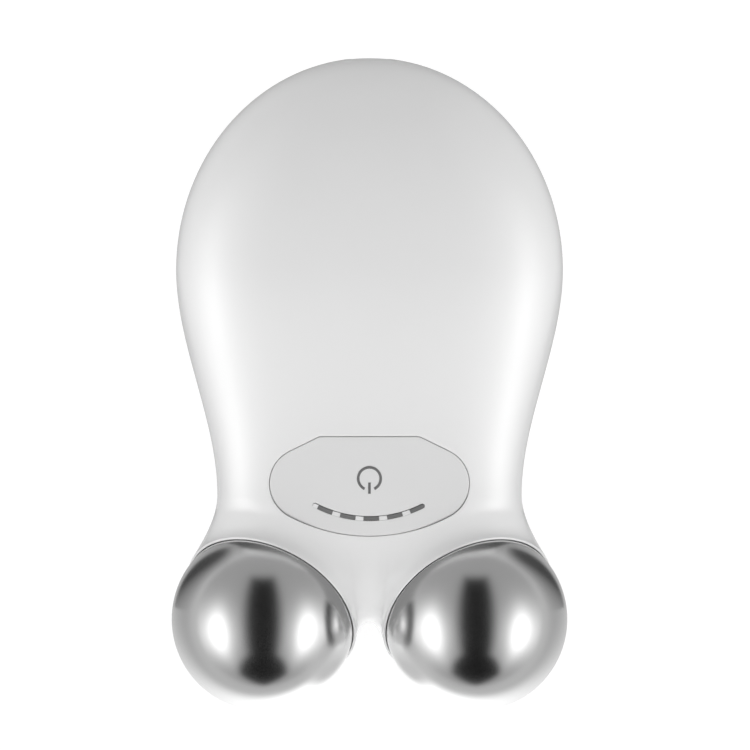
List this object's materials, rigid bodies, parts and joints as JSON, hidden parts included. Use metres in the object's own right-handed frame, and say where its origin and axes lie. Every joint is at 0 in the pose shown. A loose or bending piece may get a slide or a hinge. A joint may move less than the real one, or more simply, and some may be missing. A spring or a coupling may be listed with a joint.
{
  "type": "facial toning device",
  "caption": "Palm-shaped white facial toner with a control key on its neck and a pair of chromed sphere electrodes",
  "frame": {"origin": "on the ground under the middle of the device's length and width, which lies on its back on its four feet", "axes": "+Z leaves the front face with the control key, +Y points from the spheres to the palm end, +X is to the right seen from the front with the spheres towards the viewer"},
  "size_m": [0.069, 0.1141, 0.0371],
  "materials": {
    "white_plastic": "white ABS, satin gloss",
    "key_plastic": "pale grey ABS, satin",
    "smoke_plastic": "smoked grey, clear lacquer",
    "light_plastic": "translucent pale diffuser",
    "sphere_chrome": "mirror-polished chrome plating",
    "white_matte": "white nylon, matte",
    "black_plastic": "black moulded plastic, matte",
    "rubber_grey": "soft grey rubber",
    "steel": "zinc-plated steel",
    "brass": "tinned brass",
    "board_green": "glass-epoxy board, green solder mask",
    "cell_wrap": "aluminium can in a blue heat-shrink sleeve",
    "wire_red": "red PVC insulation",
    "wire_white": "white PVC insulation"
  },
  "bodies": {
    "housing": {"front_shell": "white_plastic", "rear_shell": "white_plastic", "left_sphere": "sphere_chrome", "right_sphere": "sphere_chrome", "left_sphere_back": "black_plastic", "right_sphere_back": "black_plastic", "left_sphere_seal": "rubber_grey", "right_sphere_seal": "rubber_grey", "left_socket": "white_matte", "right_socket": "white_matte", "sphere_screws": "steel", "sphere_terminals": "brass", "left_electrode_lead": "wire_white", "right_electrode_lead": "wire_white", "main_board": "board_green", "board_screws": "steel", "power_switch_body": "black_plastic", "indicator_leds": "light_plastic", "light_baffle": "black_plastic", "microcontroller": "black_plastic", "boost_coil": "black_plastic", "smoothing_capacitors": "steel", "charge_chip": "black_plastic", "board_passives": "brass", "beeper": "black_plastic", "battery_socket": "white_matte", "battery_plug": "white_matte", "battery_leads": "wire_red", "battery_cell": "cell_wrap", "battery_tabs": "steel", "battery_cradle": "black_plastic", "cradle_screws": "steel", "port_ring": "key_plastic", "charging_jack": "black_plastic", "charging_leads": "wire_red", "housing_screws": "steel", "screw_caps": "white_matte", "rubber_feet": "rubber_grey"},
    "key": {"control_key": "key_plastic", "power_symbol": "smoke_plastic", "light_strip": "light_plastic", "indicator_windows": "smoke_plastic"},
    "switch": {"power_switch_plunger": "white_matte"}
  },
  "joints": [
    {"name": "key_press", "type": "slide", "parent": "housing", "child": "key", "axis": [0, 0, -1], "range_m": [0, 0.0005], "stiffness_N_per_m": 1600},
    {"name": "switch_press", "type": "slide", "parent": "housing", "child": "switch", "axis": [0, 0, -1], "range_m": [0, 0.0005]}
  ],
  "couplings": [
    {"joint": "switch_press", "follows": "key_press", "ratio": 1}
  ]
}
